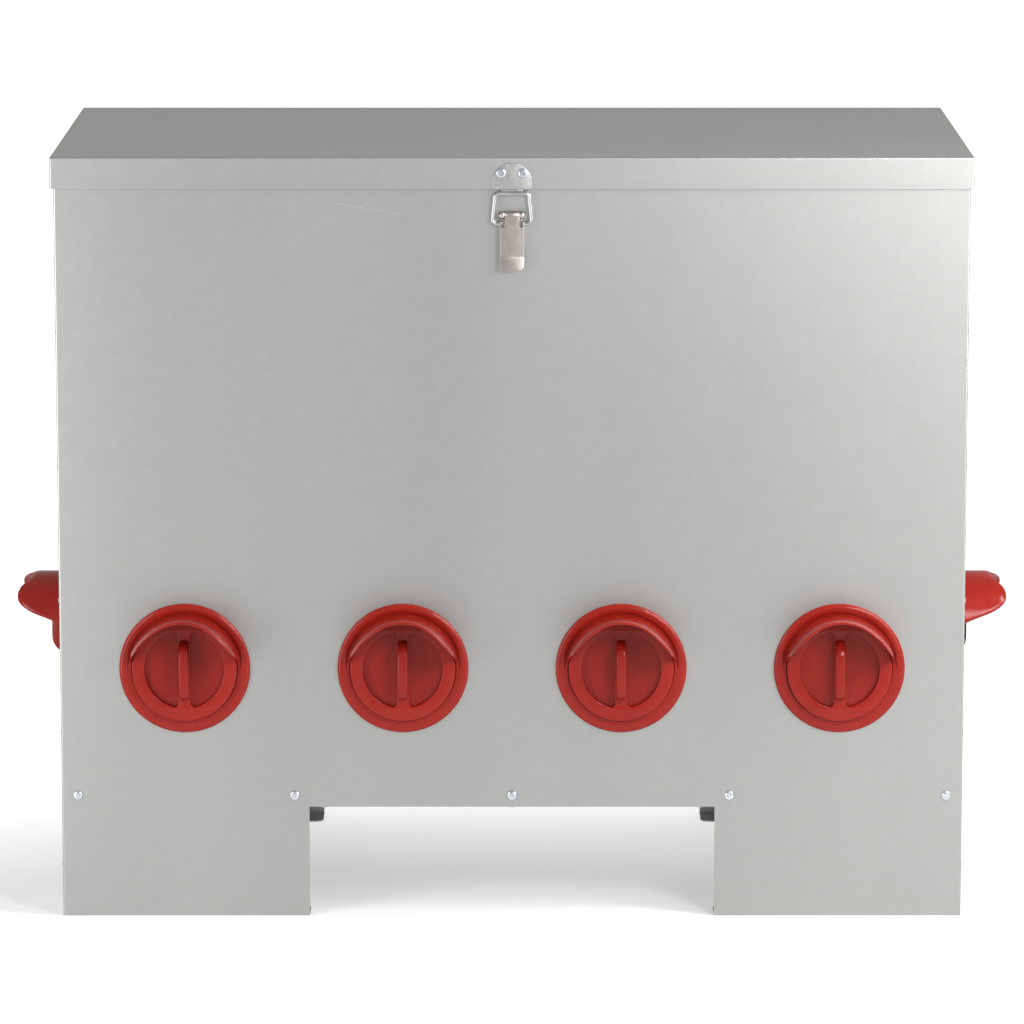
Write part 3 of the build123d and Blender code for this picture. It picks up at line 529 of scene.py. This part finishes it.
def plug_body():
    """Moulded cup behind the plug's face, with the groove for its seal."""
    step_radius, step_height = 44.6, 2.5
    front, back = SEAL_GROOVE_SIDES
    rings = [(1.0, PLUG_FLOOR), (RECESS_RADIUS + 4, PLUG_FLOOR), (RECESS_RADIUS + 4, step_height),
             (step_radius, step_height), (step_radius, PLUG_BACK), (SPIGOT_OUTER, PLUG_BACK),
             (SPIGOT_OUTER, front), (SEAL_GROOVE_RADIUS, front), (SEAL_GROOVE_RADIUS, back),
             (SPIGOT_OUTER, back), (SPIGOT_OUTER, SPIGOT_END + SPIGOT_CORNER),
             (SPIGOT_OUTER - SPIGOT_CORNER, SPIGOT_END), (SPIGOT_INNER + SPIGOT_CORNER, SPIGOT_END),
             (SPIGOT_INNER, SPIGOT_END + SPIGOT_CORNER), (SPIGOT_INNER, PLUG_BACK), (1.0, PLUG_BACK)]
    return lathe(rings, cap_start=True, cap_end=True)


def plug(grip_height):
    circle = arc((0, 0), PLUG_RADIUS, 0, 360 - 360 / 128, 127)
    face = plate([circle, recess_outline(1), recess_outline(-1)], PLUG_BACK, PLUG_FACE, PLUG_EDGE)
    piece = join("plug", face, plug_body(), grip_bridge(grip_height))
    smooth(piece, 40)
    return piece


PORTS = sorted(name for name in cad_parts
               if name.endswith("_port") or "_port_" in name and name[-1].isdigit())


def make_ports():
    mouldings = copies(port_moulding(), [("moulding_" + name, port_place(name)) for name in PORTS])
    for piece, name in zip(mouldings, PORTS):
        dress(piece, RED_PLASTIC, "hopper", "red_plastic", name)
    for wall_side, height, material, slot in ((False, GRIP_HEIGHT, RED_PLASTIC, "red_plastic"),
                                              (True, SHORT_GRIP_HEIGHT, BLACK_PLASTIC, "black_plastic")):
        chosen = [name for name in PORTS if (wall_of(name) == "right") == wall_side]
        plugs = copies(plug(height), [("cap_" + name, port_place(name)) for name in chosen])
        for piece, name in zip(plugs, chosen):
            dress(piece, material, name + "_plug", slot, name + "_plug")


# ---------------------------------------------------------------- screws and rivets
def pan_head():
    """Pan head with a cross recess, head's seat at Z = 0."""
    radius, height, crown_round, shank = 4.2, 2.4, 1.7, 1.9
    crown = arc((radius - crown_round, height - crown_round), crown_round, 0, 75, 5)
    rings = [(shank, -3.0), (shank, 0), (radius, 0), (radius, height - crown_round)]
    rings += crown[1:] + [(1.0, height)]
    piece = lathe(rings, segments=40, cap_start=True, cap_end=True)
    for turn in (0, 90):
        arm = block((-2.3, -0.42, height - 1.1), (2.3, 0.42, height + 1))
        arm.data.transform(Matrix.Rotation(math.radians(turn), 4, "Z"))
        apply_modifier(piece, "BOOLEAN", object=arm, operation="DIFFERENCE", solver="EXACT")
        bpy.data.objects.remove(arm)
    smooth(piece, 30)
    return piece


def dome_head():
    """Rivet head with a low dome and the dimple left by its mandrel."""
    radius, height, dome_radius, shank = 3.2, 1.3, 5.2, 1.5
    dome = arc((0, height - dome_radius), dome_radius, 53, 84, 6)
    rings = [(shank, -1.5), (shank, 0), (radius, 0), (radius, 0.25)]
    rings += [(x, y) for x, y in dome if x < radius]
    rings += [(0.6, height - 0.25), (0.3, height - 0.25)]
    piece = lathe(rings, segments=32, cap_start=True, cap_end=True)
    smooth(piece, 35)
    return piece


# ---------------------------------------------------------------- where the fasteners sit, in millimetres
HALF_DEPTH = 196.5
HALF_WIDTH = 400.0
SIDE_FACE = 399.2
SCREWS_ACROSS = (-385.5, -193.0, 0.0, 193.0, 385.5)
SIDE_SCREWS_ACROSS = (-96.5, 96.5)
SCREW_HEIGHT = 110.0
CUTOUT_SCREWS_ACROSS = (-167.0, 0.0, 167.0)
CUTOUT_SCREW_DEPTH = 186.5
CUTOUT_SCREW_HEIGHT = 99.5
RIDGE_SCREWS_ACROSS = (-300.0, 0.0, 300.0)
RIDGE_SCREW_DEPTH = 148.0
RIDGE_SCREW_HEIGHT = 100.3
KEEPER_SCREWS_ACROSS = (-9.5, 9.5)
KEEPER_SCREW_HEIGHT = 666.4
SEAM_RIVET_HEIGHTS = (45, 165, 285, 405, 525, 640)
SEAM_RIVET_DEPTH = 186.5
HINGE_RIVETS = 8
HINGE_RIVET_SPAN = 700.0
HINGE_HEIGHT = 648.5
HINGE_RIVET_OFFSET = 16.0
HINGE_LEAF = 1.1
LATCH_SHEET = 1.2
BASE_RIVET_HEIGHTS = (613, 597)


def wall_place(wall, face, across, height, spin=0.0):
    """Frame on a wall: Z out of it, Y up, face and across and height in millimetres."""
    turn = Matrix.Rotation(math.radians(WALL_TURN[wall]), 4, "Z")
    return turn @ Matrix.Translation((across * MM, -face * MM, height * MM)) @ TO_FRONT \
        @ Matrix.Rotation(math.radians(spin), 4, "Z")


def under(across, depth, height, spin=0.0):
    """Frame below a flange, with Z pointing down."""
    return Matrix.Translation((across * MM, depth * MM, height * MM)) @ Matrix.Rotation(math.pi, 4, "X") \
        @ Matrix.Rotation(math.radians(spin), 4, "Z")


def group_of_fasteners(maker, node_name, places, material, body, slot):
    made = copies(maker(), [(node_name + "_" + str(index), place) for index, place in enumerate(places)])
    piece = join("set_" + node_name, *made)
    dress(piece, material, body, slot, node_name)


def spin_of(index):
    """A different turn for each screw's cross, as a hand leaves them."""
    return (index * 37.0) % 90


def make_fasteners():
    walls = [(wall, HALF_DEPTH, x) for wall in ("front", "back") for x in SCREWS_ACROSS]
    walls += [(wall, SIDE_FACE, y) for wall in ("left", "right") for y in SIDE_SCREWS_ACROSS]
    places = [wall_place(wall, face, across, SCREW_HEIGHT, spin_of(index))
              for index, (wall, face, across) in enumerate(walls)]
    group_of_fasteners(pan_head, "floor_wall_screws", places, BLUE_ZINC, "hopper", "zinc_screws")
    places = [under(x, y, CUTOUT_SCREW_HEIGHT, spin_of(index))
              for y in (-CUTOUT_SCREW_DEPTH, CUTOUT_SCREW_DEPTH)
              for index, x in enumerate(CUTOUT_SCREWS_ACROSS)]
    group_of_fasteners(pan_head, "floor_cutout_screws", places, BLUE_ZINC, "hopper", "zinc_screws")
    places = [under(x, y, RIDGE_SCREW_HEIGHT, spin_of(index + 3))
              for y in (-RIDGE_SCREW_DEPTH, RIDGE_SCREW_DEPTH) for index, x in enumerate(RIDGE_SCREWS_ACROSS)]
    group_of_fasteners(pan_head, "feed_ridge_screws", places, BLUE_ZINC, "hopper", "zinc_screws")
    keeper_face = -LID_LOW.y / MM + LATCH_SHEET
    places = [wall_place("front", keeper_face, x, KEEPER_SCREW_HEIGHT, spin_of(index + 1))
              for index, x in enumerate(KEEPER_SCREWS_ACROSS)]
    group_of_fasteners(pan_head, "keeper_screws", places, BLUE_ZINC, "lid", "zinc_screws")
    places = [wall_place(wall, HALF_WIDTH, across, z)
              for z in SEAM_RIVET_HEIGHTS for wall in ("left", "right")
              for across in (-SEAM_RIVET_DEPTH, SEAM_RIVET_DEPTH)]
    group_of_fasteners(dome_head, "seam_rivets", places, RIVET_STEEL, "hopper", "rivet_steel")
    step = HINGE_RIVET_SPAN / (HINGE_RIVETS - 1)
    spread = [-HINGE_RIVET_SPAN / 2 + step * index for index in range(HINGE_RIVETS)]
    height = HINGE_HEIGHT - HINGE_RIVET_OFFSET
    places = [wall_place("back", HALF_DEPTH + HINGE_LEAF, x, height) for x in spread]
    group_of_fasteners(dome_head, "hinge_body_rivets", places, RIVET_STEEL, "hopper", "rivet_steel")
    lid_back = LID_HIGH.y / MM
    height = HINGE_HEIGHT + HINGE_RIVET_OFFSET
    places = [wall_place("back", lid_back + HINGE_LEAF, x, height) for x in spread]
    group_of_fasteners(dome_head, "hinge_lid_rivets", places, RIVET_STEEL, "lid", "rivet_steel")
    places = [wall_place("front", HALF_DEPTH + LATCH_SHEET, 0, z) for z in BASE_RIVET_HEIGHTS]
    group_of_fasteners(dome_head, "latch_base_rivets", places, RIVET_STEEL, "hopper", "rivet_steel")


# ---------------------------------------------------------------- toggle latch, in millimetres
LEVER_FRONT = -202.9
LEVER_HALF = 10.5
TONGUE_HALF = 6.3
TONGUE_TOP = 629.5
SHOULDER_HEIGHT = 619.0
LIP_BEND_HEIGHT = 593.2
LIP_BOTTOM = 581.0
LIP_CORNER = 5.5
LIP_REACH = 3.6
LIP_BEND_HALF = 1.1
LATCH_PIVOT = (-199.7, 629.5)
CURL_RADIUS = 3.2
CURL_BORE = 1.35
BAIL_PIVOT = (-199.9, 622.0)
BAIL_TOP = (-201.4, 648.7)
BAIL_WIRE = 1.6
BAIL_HALVES = (17.2, 14.6)
BAIL_CORNER = 3.6
WALL_FRONT = -196.5
BASE_HALF = 8.5
KEEPER_RADIUS = 17.5
KEEPER_CENTRE = 657.5
LID_FRONT = -199.5
LID_RIM_BOTTOM = 652.0
KEEPER_LIP = (650.4, 651.6)
KEEPER_LIP_HALF = 9.3
KEEPER_LIP_REACH = 1.9


def mirrored(right_side):
    """Close an outline from its right-hand half, listed from the bottom up."""
    return right_side + [(-x, y) for x, y in reversed(right_side)]


def stand(piece, back):
    """Stand a flat plate up: its X stays, its Y becomes height, and its Z points forward from back."""
    piece.data.transform(Matrix.Translation((0, back * MM, 0)) @ TO_FRONT)
    return piece


def across(piece, y, z):
    """Lay a turned piece's Z axis along X, at a depth and a height."""
    turn = Matrix.Rotation(math.radians(90), 4, "Y")
    piece.data.transform(Matrix.Translation((0, y * MM, z * MM)) @ turn)
    return piece


def rolled_tube(low, high):
    rings = [(CURL_BORE, low), (CURL_RADIUS - 0.3, low), (CURL_RADIUS, low + 0.3), (CURL_RADIUS, high - 0.3),
             (CURL_RADIUS - 0.3, high), (CURL_BORE, high), (CURL_BORE, low)]
    return across(lathe(rings, segments=48), *LATCH_PIVOT)


def bend_lip(piece):
    """Turn the lever's lower end outwards over a small radius."""
    edit(piece)
    steps = 6
    for step in range(steps + 1):
        height = (LIP_BEND_HEIGHT - LIP_BEND_HALF + 2 * LIP_BEND_HALF * step / steps) * MM
        bpy.ops.mesh.select_all(action="SELECT")
        bpy.ops.mesh.bisect(plane_co=(0, 0, height), plane_no=(0, 0, 1))
    leave_edit()
    slope = LIP_REACH / (LIP_BEND_HEIGHT - LIP_BOTTOM)
    for vertex in piece.data.vertices:
        below = LIP_BEND_HEIGHT + LIP_BEND_HALF - vertex.co.z / MM
        if below <= 0:
            continue
        curved = min(below, 2 * LIP_BEND_HALF)
        reach = slope * (curved**2 / (4 * LIP_BEND_HALF) + max(0.0, below - curved))
        vertex.co.y -= reach * MM


def lever_cheek(side):
    """Flange along the lever's edge, with the eye that carries the bail."""
    y, z = BAIL_PIVOT
    depth = y - LEVER_FRONT
    back = WALL_FRONT - LATCH_SHEET - 0.5 - LEVER_FRONT
    eye = arc((depth, z), 2.8, 0, 180, 14)
    outline = [(0.3, LIP_BEND_HEIGHT + 4), (back, LIP_BEND_HEIGHT + 6)] + eye + [(0.3, z)]
    hole = arc((depth, z), BAIL_WIRE + 0.05, 0, 340, 17)
    piece = plate([outline, hole], 0, LATCH_SHEET, 0.2)
    to_side = Matrix(((0, 0, 1, 0), (1, 0, 0, LEVER_FRONT * MM), (0, 1, 0, 0), (0, 0, 0, 1)))
    piece.data.transform(to_side)
    piece.data.transform(Matrix.Translation(((LEVER_HALF - LATCH_SHEET) * MM, 0, 0)))
    if side < 0:
        piece.data.transform(Matrix.Scale(-1, 4, (1, 0, 0)))
        tidy_mesh(piece)
    return piece


def make_lever():
    corner = arc((LEVER_HALF - LIP_CORNER, LIP_BOTTOM + LIP_CORNER), LIP_CORNER, -90, 0, 10)
    neck = arc((TONGUE_HALF + 1.2, SHOULDER_HEIGHT + 1.2), 1.2, 270, 180, 5)
    shoulder = arc((LEVER_HALF - 0.8, SHOULDER_HEIGHT - 0.8), 0.8, 0, 90, 4)
    face = plate([mirrored(corner + shoulder + neck + [(TONGUE_HALF, TONGUE_TOP)])], 0, LATCH_SHEET, 0.28)
    stand(face, LEVER_FRONT + LATCH_SHEET)
    bend_lip(face)
    tube = rolled_tube(-TONGUE_HALF, TONGUE_HALF)
    piece = join("lever_handle", face, tube, lever_cheek(1), lever_cheek(-1))
    smooth(piece, 45)
    dress(piece, NICKEL, "latch_lever", "nickelled_steel", "latch_lever")


def make_base():
    gap, ear = TONGUE_HALF + 0.3, LEVER_HALF - 0.1
    bottom, notch = 585.0, 625.5
    corner = arc((BASE_HALF - 4, bottom + 4), 4, -90, 0, 8)
    outline = mirrored(corner + [(BASE_HALF, TONGUE_TOP), (gap, TONGUE_TOP), (gap, notch)])
    face = stand(plate([outline], 0, LATCH_SHEET, 0.25), WALL_FRONT)
    piece = join("base_plate", face, rolled_tube(gap, ear), rolled_tube(-ear, -gap))
    smooth(piece, 45)
    dress(piece, NICKEL, "hopper", "nickelled_steel", "latch_base")


def fillet_route(points, radius, steps=6):
    """Round the inner corners of a route of points in space."""
    route = [Vector(points[0])]
    for before, here, after in zip(points, points[1:], points[2:]):
        here = Vector(here)
        back, ahead = (Vector(before) - here).normalized(), (Vector(after) - here).normalized()
        half_angle = back.angle(ahead) / 2
        start = here + back * (radius / math.tan(half_angle))
        centre = here + (back + ahead).normalized() * (radius / math.sin(half_angle))
        first, last = start - centre, here + ahead * (radius / math.tan(half_angle)) - centre
        route += [centre + first.slerp(last, step / steps).normalized() * radius for step in range(steps + 1)]
    return route + [Vector(points[-1])]


def make_bail():
    """Bent wire loop."""
    end = LEVER_HALF - LATCH_SHEET - 0.3
    low, high = BAIL_HALVES
    right = [(end, *BAIL_PIVOT), (low, *BAIL_PIVOT), (high, *BAIL_TOP)]
    route = fillet_route(right + [(-x, y, z) for x, y, z in reversed(right)], BAIL_CORNER)
    curve = bpy.data.curves.new("bail_wire", "CURVE")
    curve.dimensions = "3D"
    spline = curve.splines.new("POLY")
    spline.points.add(len(route) - 1)
    for point, place in zip(spline.points, route):
        point.co = (*(place * MM), 1)
    curve.bevel_depth = BAIL_WIRE * MM
    curve.bevel_resolution = 6
    curve.use_fill_caps = True
    piece = bpy.data.objects.new("bail_wire", curve)
    bpy.context.scene.collection.objects.link(piece)
    select_only(piece)
    bpy.ops.object.convert(target="MESH")
    piece = bpy.context.object
    tidy_mesh(piece)
    smooth(piece, 50)
    dress(piece, BAIL_STEEL, "latch_bail", "nickelled_steel", "latch_bail")


def make_keeper():
    """Round-topped plate on the lid's rim, its lower edge turned out."""
    start = math.degrees(math.asin((LID_RIM_BOTTOM - KEEPER_CENTRE) / KEEPER_RADIUS))
    curve = arc((0, KEEPER_CENTRE), KEEPER_RADIUS, start, 180 - start, 48)
    tab = KEEPER_LIP[0] + 0.3
    outline = curve + [(-KEEPER_LIP_HALF, LID_RIM_BOTTOM), (-KEEPER_LIP_HALF, tab), (KEEPER_LIP_HALF, tab),
                       (KEEPER_LIP_HALF, LID_RIM_BOTTOM)]
    face = stand(plate([outline], 0, LATCH_SHEET, 0.25), LID_FRONT)
    front = LID_FRONT - LATCH_SHEET - KEEPER_LIP_REACH
    lip = block((-KEEPER_LIP_HALF, front, KEEPER_LIP[0]), (KEEPER_LIP_HALF, LID_FRONT, KEEPER_LIP[1]))
    round_edges(lip, 0.4, 4)
    piece = join("keeper_plate", face, lip)
    smooth(piece, 40)
    dress(piece, KEEPER_ZINC, "lid", "nickelled_steel", "latch_keeper")


# ---------------------------------------------------------------- finishes of the CAD nodes
NODE_FINISH = {
    "front_panel": GALVANISED_UPRIGHT, "back_panel": GALVANISED_UPRIGHT,
    "left_side_panel": GALVANISED_UPRIGHT, "right_side_panel": GALVANISED_UPRIGHT,
    "floor_pan": GALVANISED_FLAT, "feed_ridge": GALVANISED_FLAT, "lid_panel": GALVANISED_FLAT,
    "hinge_body_leaf": RIVET_STEEL, "hinge_lid_leaf": RIVET_STEEL, "hinge_pin": RIVET_STEEL,
    "latch_lever_pin": NICKEL,
}


def finish_nodes():
    for name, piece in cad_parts.items():
        material = NODE_FINISH.get(name)
        if name.endswith("_lock_rings"):
            material = RED_PLASTIC
        elif name.endswith("_seal"):
            material = RUBBER
        if material is not None:
            for place in piece.material_slots:
                place.material = material


# ---------------------------------------------------------------- floor, light and camera
ROOM_LIGHT = 0.53
# Painted light: the floor glows, evenly in front and rising under and behind the body, so the body's shadow on
# it is washed out.
FLOOR_GLOW = 0.37
BEHIND_BODY_GLOW = 1.0
GLOW_RISE = (-0.1, 0.5)
CAMERA_PLACE = (0.0, -5.0835, 1.2584)
LOOKS_DOWN = 10.35
LENS = 198.41
SENSOR_WIDTH = 36


def softbox(name, place, aim, size, power):
    lamp = bpy.data.lights.new(name, "AREA")
    lamp.shape = "RECTANGLE"
    lamp.size, lamp.size_y = size
    lamp.energy = power
    piece = bpy.data.objects.new(name, lamp)
    bpy.context.scene.collection.objects.link(piece)
    piece.location = place
    piece.rotation_euler = (Vector(aim) - Vector(place)).to_track_quat("-Z", "Y").to_euler()
    return piece


def make_stage():
    """Pale studio floor that glows a little, like a light table, so that the shadow under the feet stays
    soft. The glow is painted light: it rises from under the body to just behind it and washes out the body's
    shadow there."""
    bpy.ops.object.select_all(action="DESELECT")
    bpy.ops.mesh.primitive_plane_add(size=60)
    floor = bpy.context.object
    floor.name = "studio_floor"
    material, tree, shader = new_material("matt_studio_floor")
    place = node(tree, "TexCoord").outputs["Object"]
    clouds = node(tree, "TexNoise", {"Vector": place, "Scale": 0.5, "Detail": 2.0})
    ramp = node(tree, "ValToRGB", {"Fac": clouds.outputs["Fac"]})
    ramp.color_ramp.elements[0].color = linear("#c4c4c4")
    ramp.color_ramp.elements[1].color = linear("#c9c9c9")
    tree.links.new(ramp.outputs["Color"], shader.inputs["Base Color"])
    depth = node(tree, "SeparateXYZ", {"Vector": place})
    # Painted light: the emission rises with depth, brightest under and behind the body, where it washes out the
    # body's shadow.
    glow = node(tree, "MapRange", {"Value": depth.outputs["Y"],
                                   "From Min": GLOW_RISE[0], "From Max": GLOW_RISE[1],
                                   "To Min": FLOOR_GLOW, "To Max": BEHIND_BODY_GLOW})
    tree.links.new(glow.outputs["Result"], shader.inputs["Emission Strength"])
    shader.inputs["Emission Color"].default_value = linear("#ffffff")
    shader.inputs["Roughness"].default_value = 0.95
    shader.inputs["Specular IOR Level"].default_value = 0.1
    floor.data.materials.append(material)


def make_lights():
    """Even room light, soft boxes left and right that shade the front from side to side, and a narrow strip
    on the right that draws a line of light along the hoods."""
    scene = bpy.context.scene
    scene.view_settings.view_transform = "Standard"
    world = bpy.data.worlds.new("studio_room")
    scene.world = world
    world.use_nodes = True
    background = world.node_tree.nodes["Background"]
    background.inputs["Color"].default_value = linear("#ffffff")
    background.inputs["Strength"].default_value = ROOM_LIGHT
    softbox("high_right_softbox", (0.7, -1.3, 1.0), (0.3, -0.2, 0.5), (0.4, 0.4), 10)
    softbox("edge_softbox", (0.85, -0.75, 0.55), (0.4, -0.2, 0.4), (0.3, 0.8), 3.1)
    softbox("left_softbox", (-0.9, -0.8, 0.45), (-0.3, -0.2, 0.35), (0.4, 0.9), 6.4)
    softbox("right_strip_softbox", (1.02, -0.58, 1.11), (0.1, -0.22, 0.2), (0.13, 0.9), 12)


def make_camera():
    data = bpy.data.cameras.new("product_camera")
    camera = bpy.data.objects.new("product_camera", data)
    bpy.context.scene.collection.objects.link(camera)
    data.sensor_width = SENSOR_WIDTH
    data.lens = LENS
    data.clip_end = 60
    camera.location = CAMERA_PLACE
    camera.rotation_euler = (math.radians(90 - LOOKS_DOWN), 0, 0)
    bpy.context.scene.camera = camera


make_ports()
make_fasteners()
make_lever()
make_base()
make_bail()
make_keeper()
finish_nodes()
make_stage()
make_lights()
make_camera()
